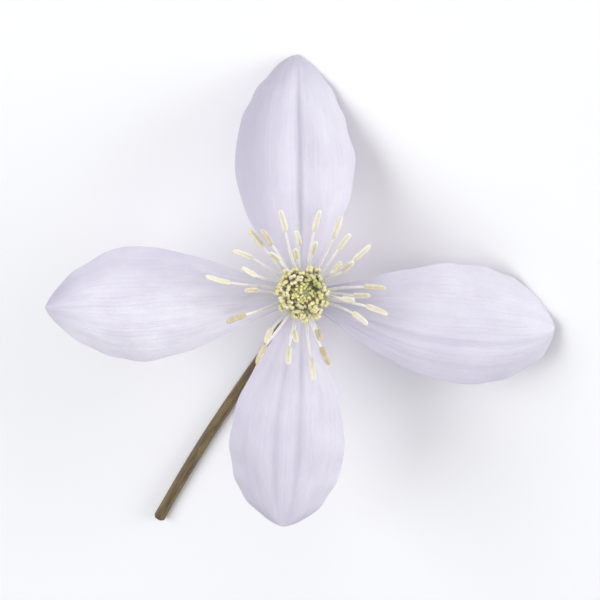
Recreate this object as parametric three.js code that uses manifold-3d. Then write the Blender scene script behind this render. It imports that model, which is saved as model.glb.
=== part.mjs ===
// One picked clematis flower lying on a table: four petal-like sepals spread in a cross, a brush of
// stamens round the pistils, and the flower's own stalk. It leans on the tips of two neighbouring
// sepals and on the stalk, which bends down behind the flower and runs along the table.
// Millimetres, +Z up. The table is z = 0 and the origin is under the middle of the outline.
import * as THREE from "three";
import { mergeVertices } from "three/addons/utils/BufferGeometryUtils.js";
import Module from "manifold-3d";

const wasm = await Module();
wasm.setup();
const { degToRad, lerp } = THREE.MathUtils;

// ---------------------------------------------------------------------------------------------
// Driving dimensions

// How the flower lies: its face leans this far from straight up, towards this direction.
const TILT = degToRad(30);
const LEAN_TOWARDS = degToRad(47.3);
// The thin tips give this much where they touch the table, which makes small flat spots.
const PRESS = 0.2;
// Room between neighbouring solids.
const GAP = 0.1;

// The receptacle, the knob at the top of the stalk that everything grows from.
const RECEPTACLE_RADIUS = 2.1;
const RECEPTACLE_TOP = 0.55;
const TORUS_RADIUS = 1.2;
const TORUS_TOP = 1.8;

// Sepals. Each one's base is an angle round the flower, anticlockwise as seen from the front.
// swing is how far it curves sideways by its tip, climb and droop are its slope at base and tip,
// widest is where along its length it is widest, and taper shapes the outline beyond that. roll is
// how far its edges roll back, and swell how far each half swells beside the midrib, both as shares
// of its half width. A base climbs, so its thick end needs room twice over beside the receptacle.
const SEPAL_BASE_RADIUS = RECEPTACLE_RADIUS + 2 * GAP;
const SEPAL_BASE_HALF_WIDTH = 1.5;
const SEPAL_EDGE_THICKNESS = 0.6;
const SEPAL_RIB_THICKNESS = 0.95;
const SEPALS = [
  { name: "sepal_top", angle: 95, swing: -8, length: 27.4, halfWidth: 7.5, widest: 0.5, rise: 0.9,
    taper: [1.9, 0.64], climb: 14, droop: -26, twist: 5, roll: 0.28, swell: 0.12, phase: 0.4 },
  { name: "sepal_left", angle: 185, swing: -4, length: 29.7, halfWidth: 7.35, widest: 0.64, rise: 1.25,
    taper: [1.55, 0.72], climb: 16, droop: -27, twist: -6, roll: 0.28, swell: 0.02, phase: 2.1 },
  { name: "sepal_bottom", angle: 262, swing: 7, length: 26.9, halfWidth: 7.3, widest: 0.6, rise: 1.3,
    taper: [1.9, 0.52], climb: 12, droop: -28, twist: 4, roll: 0.24, swell: 0.09, phase: 3.7 },
  { name: "sepal_right", angle: 345, swing: 16, length: 29.5, halfWidth: 7.5, widest: 0.6, rise: 1.15,
    taper: [2.1, 0.5], climb: 14, droop: -29, twist: -4, roll: 0.26, swell: 0.03, phase: 5.2 },
];
// At its base a sepal is a channel: its edges stand up by this share of its half width. As they
// roll back further out, they also draw in by a little.
const SEPAL_CHANNEL = 0.34;
const SEPAL_DRAW_IN = 0.03;
// Its edges wave: how high, and how many waves there are from base to tip.
const SEPAL_WAVE_HEIGHT = 0.28;
const SEPAL_WAVE_COUNT = 1.6;
// Its grid of points, with rows closer together towards the tip, and the last row just short of it.
const SEPAL_ROWS = 18;
const SEPAL_ROW_CROWDING = 1.25;
const SEPAL_COLUMNS = 10;
const SEPAL_END = 0.99;

// Stamens, in two families: long ones that lean out over the sepals, and short ones that stand
// close round the pistils. Each pair of values runs from the family's outermost to its innermost.
// gather is how much a family crowds towards the top of the flower.
const STAMEN_FAMILIES = [
  { count: 30, rootRadius: [1.85, 1.7], rootHeight: [1.05, 1.35], reach: [11.6, 5.6],
    height: [7, 10], gather: 0.25 },
  { count: 44, rootRadius: [1.7, 1.5], rootHeight: [1.4, 1.9], reach: [3.45, 1.95],
    height: [8.5, 8.1], gather: 0 },
];
// How far a stamen strays from its family's even spacing: an angle, and shares of reach and height.
const STAMEN_STRAY = { angle: 0.2, reach: 0.13, height: 0.08 };
// Where it bends outward: shares of the way out to its tip, and of its height.
const STAMEN_BEND = { reach: 0.28, height: 0.55 };
// How deep its root is sunk into the collar, the ring that joins all stamens.
const STAMEN_ROOT_DEPTH = 0.35;
// The collar's section, higher on its inner side: radius and height of each point round it.
const COLLAR_PROFILE = [
  [TORUS_RADIUS + GAP, RECEPTACLE_TOP + GAP], [RECEPTACLE_RADIUS, RECEPTACLE_TOP + GAP],
  [RECEPTACLE_RADIUS, RECEPTACLE_TOP + 0.6], [TORUS_RADIUS + GAP, TORUS_TOP + 0.2],
  [TORUS_RADIUS + GAP, RECEPTACLE_TOP + GAP],
];
// A stamen's cross-sections: share of its length, half width, half thickness.
const STAMEN_SECTIONS = [
  [0, 0.3, 0.26], [0.3, 0.26, 0.2], [0.6, 0.24, 0.18], [0.74, 0.2, 0.17],
  [0.78, 0.36, 0.3], [0.9, 0.42, 0.34], [0.98, 0.32, 0.26], [1, 0.14, 0.12],
];

// Pistils, a tight bundle on the torus.
const PISTIL_COUNT = 13;
const PISTIL_BUNDLE_RADIUS = 0.85;
const PISTIL_HEIGHT = 7.5;
const PISTIL_HEIGHT_STRAY = 0.06;
// The bundle is this many times as wide at its top as at its foot.
const PISTIL_SPREAD = 1.55;
// How high above the torus a pistil's root is, inside the dome.
const PISTIL_ROOT_HEIGHT = 0.4;
// A pistil's cross-sections: share of its length, radius.
const PISTIL_SECTIONS = [[0, 0.4], [0.3, 0.36], [0.5, 0.26], [0.85, 0.2], [1, 0.12]];
// The dome that joins them: radius and height of each point, from its foot to its top.
const DOME_PROFILE = [
  [0, TORUS_TOP + GAP], [TORUS_RADIUS, TORUS_TOP + GAP], [1.14, TORUS_TOP + 0.5],
  [0.72, TORUS_TOP + 1.1], [0, TORUS_TOP + 1.4],
];
// Sides of a stamen or pistil, and of a turned shape.
const STRAND_SIDES = 6;
const TURNED_SIDES = 24;

// Stalk: it reaches the table this far out, runs along it in this direction, and turns a little.
const STALK_RADIUS = 0.75;
const STALK_NECK = 2.6;
const STALK_REACH = 17;
const STALK_RUN = 29;
const STALK_HEADING = degToRad(233);
const STALK_TURN = degToRad(6);
// How firmly its bend holds on to the directions at its two ends, as a share of its reach.
const STALK_FIRMNESS = 0.45;
const STALK_SIDES = 12;
const STALK_STEPS = 34;
// Its lower flats lie on the table, pressed a little.
const STALK_REST_HEIGHT = STALK_RADIUS * Math.cos(Math.PI / STALK_SIDES) - 0.02;
// The receptacle at its top: radius and height of each point, from inside the neck to the torus.
const RECEPTACLE_PROFILE = [
  [0, -STALK_NECK - 0.4], [STALK_RADIUS, -STALK_NECK - 0.4], [STALK_RADIUS * 1.15, -STALK_NECK + 0.6],
  [RECEPTACLE_RADIUS * 0.7, -1.2], [RECEPTACLE_RADIUS, -0.5], [RECEPTACLE_RADIUS, 0.35],
  [RECEPTACLE_RADIUS * 0.9, RECEPTACLE_TOP], [TORUS_RADIUS, RECEPTACLE_TOP],
  [TORUS_RADIUS, TORUS_TOP], [0, TORUS_TOP],
];

// ---------------------------------------------------------------------------------------------
// Small helpers

// The turn from one stamen or pistil to the next, which fills a round head evenly.
const GOLDEN_ANGLE = Math.PI * (3 - Math.sqrt(5));

// The same scatter from -1 to 1 on every run, for item k and purpose n.
function scatter(k, n) {
  const x = Math.sin(k * 12.9898 + n * 78.233) * 43758.5453;
  return (x - Math.floor(x)) * 2 - 1;
}

function geometryOf(points, triangles) {
  const geometry = new THREE.BufferGeometry().setFromPoints(points);
  geometry.setIndex(triangles);
  return geometry;
}

// A closed body through rings of equal length, each anticlockwise about the way that it goes.
function loft(rings) {
  const n = rings[0].length;
  const points = rings.flat();
  const triangles = [];
  for (let i = 0; i + 1 < rings.length; i++) {
    for (let j = 0; j < n; j++) {
      const a = i * n + j;
      const b = i * n + ((j + 1) % n);
      triangles.push(a, b, b + n, a, b + n, a + n);
    }
  }
  const last = points.length - n;
  for (let j = 1; j + 1 < n; j++) {
    triangles.push(0, j + 1, j, last, last + j, last + j + 1);
  }
  return geometryOf(points, triangles);
}

// A closed blade between two equal grids of points. Both faces are split into triangles alike.
function blade(front, back) {
  const rows = front.length;
  const columns = front[0].length;
  const half = rows * columns;
  const at = (i, j) => i * columns + j;
  const triangles = [];
  for (let i = 0; i + 1 < rows; i++) {
    for (let j = 0; j + 1 < columns; j++) {
      for (const [a, b, c] of [[at(i, j), at(i + 1, j), at(i + 1, j + 1)],
        [at(i, j), at(i + 1, j + 1), at(i, j + 1)]]) {
        triangles.push(a, b, c, half + a, half + c, half + b);
      }
    }
  }
  const rim = [];
  for (let i = 0; i + 1 < rows; i++) rim.push(at(i, 0));
  for (let j = 0; j + 1 < columns; j++) rim.push(at(rows - 1, j));
  for (let i = rows - 1; i > 0; i--) rim.push(at(i, columns - 1));
  for (let j = columns - 1; j > 0; j--) rim.push(at(0, j));
  rim.forEach((a, k) => {
    const b = rim[(k + 1) % rim.length];
    triangles.push(b, a, half + a, b, half + a, half + b);
  });
  return geometryOf([...front.flat(), ...back.flat()], triangles);
}

// A round body about +Z, from a profile of radius and height.
function turned(profile) {
  const points = profile.map(([radius, height]) => new THREE.Vector2(radius, height));
  return new THREE.LatheGeometry(points, TURNED_SIDES).rotateX(Math.PI / 2);
}

function solidOf(geometry) {
  const bare = geometry.clone();
  bare.deleteAttribute("normal");
  bare.deleteAttribute("uv");
  const merged = mergeVertices(bare, 1e-4);
  return new wasm.Manifold(new wasm.Mesh({
    numProp: 3,
    vertProperties: new Float32Array(merged.attributes.position.array),
    triVerts: new Uint32Array(merged.index.array),
  }));
}

// One body out of several geometries that overlap. Any hollow that they seal between them is filled.
function fuse(geometries) {
  const shells = geometries.map(solidOf).reduce((whole, next) => whole.add(next)).decompose();
  const mesh = shells.reduce((a, b) => (a.volume() > b.volume() ? a : b)).getMesh();
  const geometry = new THREE.BufferGeometry();
  geometry.setAttribute("position", new THREE.BufferAttribute(mesh.vertProperties, 3));
  geometry.setIndex(new THREE.BufferAttribute(mesh.triVerts, 1));
  return geometry;
}

function meshOf(name, geometry, color, roughness) {
  geometry.computeVertexNormals();
  const material = new THREE.MeshStandardMaterial({ color, roughness, metalness: 0 });
  const mesh = new THREE.Mesh(geometry, material);
  mesh.name = name;
  return mesh;
}

// ---------------------------------------------------------------------------------------------
// Sepals. One is drawn along +X, with its face up, and then turned to its angle.

// Its midline is one cubic curve that leaves the base climbing and ends drooping.
function sepalMidline({ length, swing, climb, droop }) {
  const heading = (turn, slope) => new THREE.Vector3(
    Math.cos(slope) * Math.cos(turn), Math.cos(slope) * Math.sin(turn), Math.sin(slope));
  const leave = heading(0, degToRad(climb));
  const arrive = heading(degToRad(swing), degToRad(droop));
  const chord = heading(degToRad(swing / 2), degToRad((climb + droop) / 2));
  const base = new THREE.Vector3(SEPAL_BASE_RADIUS, 0, 0);
  const tip = base.clone().addScaledVector(chord, length);
  return new THREE.CubicBezierCurve3(
    base,
    base.clone().addScaledVector(leave, length / 3),
    tip.clone().addScaledVector(arrive, -length / 3),
    tip);
}

function sepalHalfWidth({ halfWidth, widest, rise, taper }, s) {
  const base = SEPAL_BASE_HALF_WIDTH / halfWidth;
  if (s < widest) {
    return halfWidth * (base + (1 - base) * Math.sin((Math.PI / 2) * (s / widest)) ** rise);
  }
  return halfWidth * (1 - ((s - widest) / (1 - widest)) ** taper[0]) ** taper[1];
}

// A point of the blade's middle surface: s runs from base to tip, and t from -1 to 1 across. The
// base is a channel, each half bulges beside the midrib's furrow, and the edges roll back and wave.
function sepalPoint(sepal, midline, s, t) {
  const width = sepalHalfWidth(sepal, s);
  const along = midline.getTangent(s);
  const across = new THREE.Vector3(-along.y, along.x, 0).normalize();
  const up = new THREE.Vector3().crossVectors(along, across);
  const twist = degToRad(sepal.twist) * s;
  const side = across.clone().multiplyScalar(Math.cos(twist)).addScaledVector(up, Math.sin(twist));
  const face = new THREE.Vector3().crossVectors(along, side);
  const channel = lerp(SEPAL_CHANNEL, -sepal.roll, 1 - (1 - s) ** 3) * width * t * t;
  const bulge = sepal.swell * width * Math.sin(Math.PI * Math.abs(t)) * Math.sin(Math.PI * s);
  const wave = SEPAL_WAVE_HEIGHT * s * Math.abs(t) ** 3
    * Math.sin(2 * Math.PI * SEPAL_WAVE_COUNT * s + sepal.phase + 2 * t);
  return midline.getPoint(s)
    .addScaledVector(side, width * t * (1 - SEPAL_DRAW_IN * t * t))
    .addScaledVector(face, channel + bulge + wave);
}

function sepalGeometry(sepal) {
  const midline = sepalMidline(sepal);
  const step = 1e-3;
  const front = [];
  const back = [];
  for (let i = 0; i <= SEPAL_ROWS; i++) {
    const s = SEPAL_END * (1 - (1 - i / SEPAL_ROWS) ** SEPAL_ROW_CROWDING);
    const frontRow = [];
    const backRow = [];
    for (let j = 0; j <= SEPAL_COLUMNS; j++) {
      const t = (2 * j) / SEPAL_COLUMNS - 1;
      const middle = sepalPoint(sepal, midline, s, t);
      const sOther = s + (s > 0.5 ? -step : step);
      const tOther = t + (t > 0 ? -step : step);
      const alongS = sepalPoint(sepal, midline, sOther, t).sub(middle).multiplyScalar(s > 0.5 ? -1 : 1);
      const alongT = sepalPoint(sepal, midline, s, tOther).sub(middle).multiplyScalar(t > 0 ? -1 : 1);
      const normal = alongS.cross(alongT).normalize();
      const thickness = lerp(SEPAL_EDGE_THICKNESS, SEPAL_RIB_THICKNESS, (1 - s) * (1 - Math.abs(t)));
      frontRow.push(middle.clone().addScaledVector(normal, thickness / 2));
      backRow.push(middle.clone().addScaledVector(normal, -thickness / 2));
    }
    front.push(frontRow);
    back.push(backRow);
  }
  return blade(front, back);
}

// ---------------------------------------------------------------------------------------------
// Stamens and pistils, along +Z

// A slim body along a curve in the plane at angle a, with [share, half width, half thickness] sections.
function strand(curve, a, sections) {
  const side = new THREE.Vector3(-Math.sin(a), Math.cos(a), 0);
  const rings = sections.map(([share, halfWidth, halfThickness]) => {
    const centre = curve.getPoint(share);
    const depth = new THREE.Vector3().crossVectors(curve.getTangent(share), side);
    return Array.from({ length: STRAND_SIDES }, (_, j) => {
      const round = (2 * Math.PI * j) / STRAND_SIDES;
      return centre.clone()
        .addScaledVector(side, halfWidth * Math.cos(round))
        .addScaledVector(depth, halfThickness * Math.sin(round));
    });
  });
  return loft(rings);
}

function polar(a, radius, z) {
  return new THREE.Vector3(radius * Math.cos(a), radius * Math.sin(a), z);
}

function stamenStrands() {
  const strands = [];
  let k = 0;
  for (const family of STAMEN_FAMILIES) {
    for (let i = 0; i < family.count; i++, k++) {
      const inward = i / (family.count - 1);
      const spaced = k * GOLDEN_ANGLE + STAMEN_STRAY.angle * scatter(k, 1);
      const a = spaced + family.gather * Math.cos(spaced);
      const rootHeight = lerp(...family.rootHeight, inward) - STAMEN_ROOT_DEPTH;
      const root = polar(a, lerp(...family.rootRadius, inward), rootHeight);
      const reach = lerp(...family.reach, inward) * (1 + STAMEN_STRAY.reach * scatter(k, 2));
      const height = lerp(...family.height, inward) * (1 + STAMEN_STRAY.height * scatter(k, 3));
      const tip = polar(a, reach, height);
      const bend = polar(a, lerp(root.length(), reach, STAMEN_BEND.reach), height * STAMEN_BEND.height);
      strands.push(strand(new THREE.QuadraticBezierCurve3(root, bend, tip), a, STAMEN_SECTIONS));
    }
  }
  return strands;
}

function pistilStrands() {
  return Array.from({ length: PISTIL_COUNT }, (_, k) => {
    const outward = Math.sqrt(k / (PISTIL_COUNT - 1));
    const a = k * GOLDEN_ANGLE;
    const root = polar(a, PISTIL_BUNDLE_RADIUS * outward, TORUS_TOP + PISTIL_ROOT_HEIGHT);
    const height = PISTIL_HEIGHT * (1 + PISTIL_HEIGHT_STRAY * scatter(k, 4));
    const tip = polar(a, PISTIL_BUNDLE_RADIUS * outward * PISTIL_SPREAD, height);
    const sections = PISTIL_SECTIONS.map(([share, radius]) => [share, radius, radius]);
    return strand(new THREE.LineCurve3(root, tip), a, sections);
  });
}

// ---------------------------------------------------------------------------------------------
// The flower head: everything on the receptacle, tilted, and lowered onto its lowest sepals

const head = new THREE.Group();
head.quaternion.setFromAxisAngle(
  new THREE.Vector3(-Math.sin(LEAN_TOWARDS), Math.cos(LEAN_TOWARDS), 0), TILT);
for (const sepal of SEPALS) {
  const mesh = meshOf(sepal.name, sepalGeometry(sepal), 0xe6e2f2, 0.55);
  mesh.rotation.z = degToRad(sepal.angle);
  head.add(mesh);
}
head.updateMatrixWorld(true);
head.position.z = -new THREE.Box3().setFromObject(head, true).min.z - PRESS;
head.add(meshOf("stamens", fuse([turned(COLLAR_PROFILE), ...stamenStrands()]), 0xe9e2b4, 0.6));
head.add(meshOf("pistils", fuse([turned(DOME_PROFILE), ...pistilStrands()]), 0x9fb24c, 0.6));

// ---------------------------------------------------------------------------------------------
// The stalk: the receptacle, and a tube that bends down from it to the table

// It leaves the receptacle straight out of its back, comes down to the table, and runs on to the cut.
function stalkCurve() {
  const back = new THREE.Vector3(0, 0, -1).applyQuaternion(head.quaternion);
  const start = head.position.clone().addScaledVector(back, STALK_NECK);
  const ahead = polar(STALK_HEADING, 1, 0);
  const aside = polar(STALK_HEADING + STALK_TURN, 1, 0);
  const landing = start.clone().addScaledVector(ahead, STALK_REACH).setZ(STALK_REST_HEIGHT);
  const bend = landing.clone().addScaledVector(ahead, STALK_RUN / 2);
  const descent = new THREE.CubicBezierCurve3(
    start,
    start.clone().addScaledVector(back, STALK_REACH * STALK_FIRMNESS),
    landing.clone().addScaledVector(ahead, -STALK_REACH * STALK_FIRMNESS),
    landing);
  const run = new THREE.QuadraticBezierCurve3(
    landing, bend, bend.clone().addScaledVector(aside, STALK_RUN / 2));
  return new THREE.CatmullRomCurve3([...descent.getPoints(8), ...run.getPoints(6).slice(1)]);
}

function stalkTube() {
  const section = new THREE.Shape().absarc(0, 0, STALK_RADIUS, 0, 2 * Math.PI);
  return new THREE.ExtrudeGeometry(section, {
    steps: STALK_STEPS,
    curveSegments: STALK_SIDES / 2,
    extrudePath: stalkCurve(),
  });
}

head.updateMatrixWorld(true);
const receptacle = turned(RECEPTACLE_PROFILE).applyMatrix4(head.matrixWorld);
const stalk = meshOf("stalk", fuse([receptacle, stalkTube()]), 0x6b5344, 0.6);

// ---------------------------------------------------------------------------------------------
// The whole flower

// Moves whatever would be under the table up to it, as a soft tip flattens where it lies.
function pressFlat(mesh) {
  const position = mesh.geometry.attributes.position;
  const point = new THREE.Vector3();
  for (let i = 0; i < position.count; i++) {
    mesh.localToWorld(point.fromBufferAttribute(position, i));
    if (point.z < 0) {
      mesh.worldToLocal(point.setZ(0));
      position.setXYZ(i, point.x, point.y, point.z);
    }
  }
}

const flower = new THREE.Group();
flower.add(head, stalk);
flower.updateMatrixWorld(true);
flower.traverse((part) => part.isMesh && pressFlat(part));
const outline = new THREE.Box3().setFromObject(flower, true);
flower.position.set(-(outline.min.x + outline.max.x) / 2, -(outline.min.y + outline.max.y) / 2, 0);

export default flower;
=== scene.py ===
"""The looks of one picked clematis flower that lies on a pale table.

Lengths are in millimetres until a mesh is made. Fine meshes follow the same curves as the solids that
they replace: a sepal is a surface over (s, t), with s from base to tip and t from -1 to 1 across.
"""

import math

import bpy
import numpy as np
from mathutils import Matrix, Vector


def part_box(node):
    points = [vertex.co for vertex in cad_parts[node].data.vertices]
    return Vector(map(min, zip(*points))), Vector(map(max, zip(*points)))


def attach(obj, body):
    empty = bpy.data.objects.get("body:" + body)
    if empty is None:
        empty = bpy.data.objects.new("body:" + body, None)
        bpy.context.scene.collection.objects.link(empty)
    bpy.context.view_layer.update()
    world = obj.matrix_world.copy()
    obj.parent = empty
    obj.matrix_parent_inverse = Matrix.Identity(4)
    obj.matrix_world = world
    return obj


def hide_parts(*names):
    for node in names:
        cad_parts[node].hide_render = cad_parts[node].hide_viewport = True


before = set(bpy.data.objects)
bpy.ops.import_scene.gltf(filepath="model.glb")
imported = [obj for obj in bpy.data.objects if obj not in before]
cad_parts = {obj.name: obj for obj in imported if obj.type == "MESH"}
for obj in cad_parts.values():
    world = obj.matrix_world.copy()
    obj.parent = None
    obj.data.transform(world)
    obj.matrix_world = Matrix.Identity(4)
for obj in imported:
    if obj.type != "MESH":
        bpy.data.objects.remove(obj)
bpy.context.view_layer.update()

# ---- Driving dimensions ----

MM = 0.001
# No fine mesh reaches lower than this, just clear of the table.
LOWEST = 0.02
SEED = 7

# How the flower lies: its face leans this far from straight up, towards this direction.
TILT = math.radians(30)
LEAN_TOWARDS = math.radians(47.3)

# Sepals. Each one's base is an angle round the flower, anticlockwise as seen from the front. swing is
# how far it curves sideways by its tip, climb and droop are its slope at base and tip, and twist is how
# far it turns about its own length. widest is where along its length it is widest, and rise and taper
# shape the outline before and beyond that. roll is how far its edges roll back, and swell how far each
# half swells beside the midrib, both as shares of its half width. phase shifts its waves. Each lengthwise
# furrow is its distance from the midline, its half width and its depth. The last four values are painted
# shade: how much it darkens the whole sepal, then how much more it darkens towards the edge of one half,
# the left half, seen from the base, where that value is above 0, and towards its base and its tip.
SEPAL_BASE_RADIUS = 2.3
SEPAL_BASE_HALF_WIDTH = 1.5
SEPALS = [
    dict(name="sepal_top", angle=95, swing=-8, length=27.4, half_width=7.5, widest=0.5, rise=0.9,
         taper=(1.9, 0.64), climb=14, droop=-26, twist=5, roll=0.28, swell=0.12, phase=0.4,
         furrows=[(-0.5, 0.42, 0.34), (0.55, 0.35, 0.05), (-1.9, 0.7, 0.08), (2.7, 1.3, 0.3)],
         shade_overall=0.36, shade_edge=0.75, shade_base=0.1, shade_tip=0.5),
    dict(name="sepal_left", angle=185, swing=-4, length=29.7, half_width=7.35, widest=0.64, rise=1.25,
         taper=(1.55, 0.72), climb=16, droop=-27, twist=-6, roll=0.28, swell=0.02, phase=2.1,
         furrows=[(0.3, 0.35, 0.03), (-3.2, 1.4, 0.1)],
         shade_overall=0.0, shade_edge=-0.5, shade_base=0.0, shade_tip=0.55),
    dict(name="sepal_bottom", angle=262, swing=7, length=26.9, half_width=7.3, widest=0.6, rise=1.3,
         taper=(1.9, 0.52), climb=12, droop=-28, twist=4, roll=0.24, swell=0.09, phase=3.7,
         furrows=[(1.5, 0.55, 0.24), (-1.35, 0.6, 0.26), (-4.0, 0.9, 0.06)],
         shade_overall=0.36, shade_edge=-0.2, shade_base=0.1, shade_tip=0.25),
    dict(name="sepal_right", angle=345, swing=16, length=29.5, half_width=7.5, widest=0.6, rise=1.15,
         taper=(2.1, 0.5), climb=14, droop=-29, twist=-4, roll=0.26, swell=0.03, phase=5.2,
         furrows=[(0.5, 0.4, 0.04), (-2.6, 0.6, 0.18), (-0.9, 0.7, 0.07)],
         shade_overall=0.38, shade_edge=-0.3, shade_base=0.7, shade_tip=-0.1),
]
# At its base a sepal is a channel: its edges stand up by this share of its half width. They also draw
# in by a little all along, and wave: how high, and how many waves there are from base to tip.
SEPAL_CHANNEL = 0.34
SEPAL_DRAW_IN = 0.03
SEPAL_WAVE_HEIGHT = 0.28
SEPAL_WAVE_COUNT = 1.6

# The grid and the thickness of a sepal's solid, and the step that its slopes are measured over.
SOLID_ROWS, SOLID_COLUMNS, SOLID_END = 18, 10, 0.99
SOLID_ROW_CROWDING = 1.25
SOLID_EDGE_THICKNESS, SOLID_RIB_THICKNESS = 0.6, 0.95
SOLID_SLOPE_STEP = 1e-3

# The fine blade that stands for it. Its rows run from inside the receptacle almost to the very tip, and
# crowd towards the tip as its columns crowd towards the edges. Its flesh thins by a share to the tip.
BLADE_ROWS, BLADE_COLUMNS = 150, 96
BLADE_START, BLADE_END = -0.035, 0.9997
BLADE_ROW_CROWDING, BLADE_COLUMN_CROWDING = 1.5, 0.93
BLADE_EDGE_THICKNESS, BLADE_THICKNESS = 0.14, 0.36
BLADE_THINNING = 0.5
# Furrows and side veins fade out over this share of its length at both ends, and ripples at its base.
END_FADE = 0.25
# Only furrows narrower than this get painted shade in their creases, the deepest one fully.
NARROW_FURROW = 1
DEEPEST_FURROW = max(depth for sepal in SEPALS for _, _, depth in sepal["furrows"])
# Side veins stand at these shares of the half width, sunk in the front and raised on the back, where
# a midrib stands out and sinks away towards the tip.
SIDE_VEINS = (0.2, 0.38, 0.56, 0.74)
SIDE_VEIN_HALF_WIDTH, SIDE_VEIN_DEPTH = 0.22, 0.035
MIDRIB_HALF_WIDTH, MIDRIB_HEIGHT, MIDRIB_FALL = 0.42, 0.3, 0.7
# Soft swells of the whole blade: height, and how fast they follow each other along and across it.
SWELLS = [(0.10, 9, 3.1), (0.07, 17, -5.3)]
# Its edge is crimped up and down, unevenly, and nibbled in and out.
EDGE_CRIMP = dict(height=0.10, rate=38, drift=2, drift_rate=7)
EDGE_NIBBLE = dict(depth=0.06, rate=31)
# Spans of the blade, each as its start and length: where painted shade darkens an edge, across and along,
# where the base's painted shade fades, where the tip's painted shade grows, where the tip's skin evens
# out.
SHADE_ACROSS_SPAN = (0.1, 5 / 9)
SHADE_ALONG_SPAN = (0, 0.4)
SHADE_BASE_SPAN = (0, 0.42)
SHADE_TIP_SPAN = (0.82, 0.14)
EVEN_TIP_SPAN = (0.9, 0.08)
# Its map: the margin, how wide each face lies in it, where the back starts, and the rim's strip.
MAP_MARGIN = 0.01
MAP_FACE_WIDTH = 0.46
MAP_BACK_START = 0.49
MAP_RIM = (0.97, 0.99)

# The turn from one stamen or pistil to the next, which fills a round head evenly.
GOLDEN_ANGLE = math.pi * (3 - math.sqrt(5))

# Stamens, in two families: long ones that lean out over the sepals, and short ones that stand close
# round the pistils. Each pair of values runs from the family's outermost to its innermost. gather is
# how much a family crowds towards the top of the flower.
STAMEN_FAMILIES = [
    dict(count=30, root_radius=(1.85, 1.7), root_height=(1.05, 1.35), reach=(11.6, 5.6),
         height=(7, 10), gather=0.25),
    dict(count=62, root_radius=(1.7, 1.45), root_height=(1.4, 1.9), reach=(3.5, 1.5),
         height=(8.5, 8.0), gather=0),
]
# How far a stamen strays from its family's even spacing: an angle, and shares of reach and height.
STAMEN_STRAY = dict(angle=0.2, reach=0.13, height=0.08)
# Where it bends outward: shares of the way out to its tip, and of its height.
STAMEN_BEND = dict(reach=0.28, height=0.55)
STAMEN_ROOT_DEPTH = 0.35
# How far it sways to both sides, and how fast.
STAMEN_SWAY, STAMEN_SWAY_RATE = 0.24, 5
# A filament's half width at foot and top, how its foot flares, and how thick it is for its width.
FILAMENT_HALF_WIDTH = (0.25, 0.12)
FILAMENT_FLARE, FILAMENT_FLARE_FALL = 0.05, 14
FILAMENT_FLATNESS = 0.72
FILAMENT_RINGS, FILAMENT_SIDES = 22, 10
# An anther starts at this share of its stamen's length, and the filament runs on inside it for a bit.
ANTHER_START = 0.755
ANTHER_OVERLAP = 0.1
ANTHER_HALF_WIDTH, ANTHER_HALF_DEPTH = 0.4, 0.36
# It tapers to this share. Its very ends are as narrow as the root of ANTHER_END, and the furrow between
# its lobes leaves ANTHER_WAIST of its depth.
ANTHER_TAPER = 0.82
ANTHER_END = 0.03
ANTHER_WAIST = 0.35
# How far its tip leans sideways, how far it spins, and how much plumper the inner ones are.
ANTHER_LEAN, ANTHER_SPIN, ANTHER_PLUMPNESS = 0.4, 0.5, 0.2
ANTHER_RINGS, ANTHER_SIDES = 15, 24
# How ripe outer and inner anthers are, and how much that strays.
RIPENESS = (0.9, 0.3)
RIPENESS_STRAY = 0.3
# Outer anthers age by chance, and take the aged brown as painted shade by how far they stand towards
# the flower's shaded side, less a little.
SHADED_TOWARDS = math.radians(235)
AGED_BY_CHANCE, SHADE_BY_SIDE, AGED_AND_SHADED_LESS, AGED_AND_SHADED_MOST = 1.1, 0.7, 0.2, 0.8
# The greenest spots of the flower's middle, seen from its front: place x, y, reach and strength.
GREEN_SPOTS = [(1.4, 1.2, 1.25, 1.0), (-1.0, -2.8, 1.6, 0.5)]

# Pistils: more and finer than in the solid, in the same bundle on the torus. The bundle is PISTIL_SPREAD
# times as wide at its top as at its foot, and its roots stand higher by the dome in its middle. The
# first pistil stands off the middle by a share of a step.
TORUS_TOP = 1.8
PISTIL_COUNT = 50
PISTIL_FIRST = 0.3
PISTIL_BUNDLE_RADIUS = 1.05
PISTIL_SPREAD = 1.35
PISTIL_HEIGHT = 7.5
PISTIL_ROOT_DEPTH = 0.25
PISTIL_DOME = 0.5
PISTIL_STRAY = dict(height=0.07, angle=0.15)
# Where it bends: shares of how far out it stands, and of its height.
PISTIL_BEND = dict(reach=0.95, height=0.6)
# Its half width at foot and tip, and the bulges of ovary and stigma: height, place and half length.
PISTIL_HALF_WIDTH = (0.16, 0.12)
PISTIL_BULGES = [(0.16, 0.16, 0.13), (0.09, 0.94, 0.08)]
# How green even the palest one is.
PISTIL_GREEN = 0.1
PISTIL_RINGS, PISTIL_SIDES = 26, 12

# Hairs bend by a share of their length and thin by a share to their end. span is where they grow on a
# style, or on the stalk below its bare top, towards which they crowd. root is how far out in the skin
# they start, outwards or forwards how much they also lean that way, and droop how far they bend over.
HAIR_RINGS, HAIR_SIDES = 4, 3
HAIR_BEND, HAIR_THINNING = 0.35, 0.85
SILK = dict(count=44, span=(0.25, 0.9), length=(0.7, 1.4), width=0.06, root=0.8, outwards=0.55, droop=0.4)
DOWN = dict(count=700, span=(0.01, 1), length=(0.25, 0.5), width=0.03, root=0.95, forwards=0.6, droop=0.8,
            bare=4.5, crowding=0.7)
# There is no hair where its tip, about this far out, would come this near the table.
DOWN_REACH, DOWN_CLEARANCE = 0.3, 0.1

# Stalk: it reaches the table this far out, runs along it in this direction, and turns a little.
STALK_RADIUS = 0.75
STALK_NECK = 2.6
STALK_REACH = 17
STALK_RUN = 29
STALK_HEADING = math.radians(233)
STALK_TURN = math.radians(6)
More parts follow.
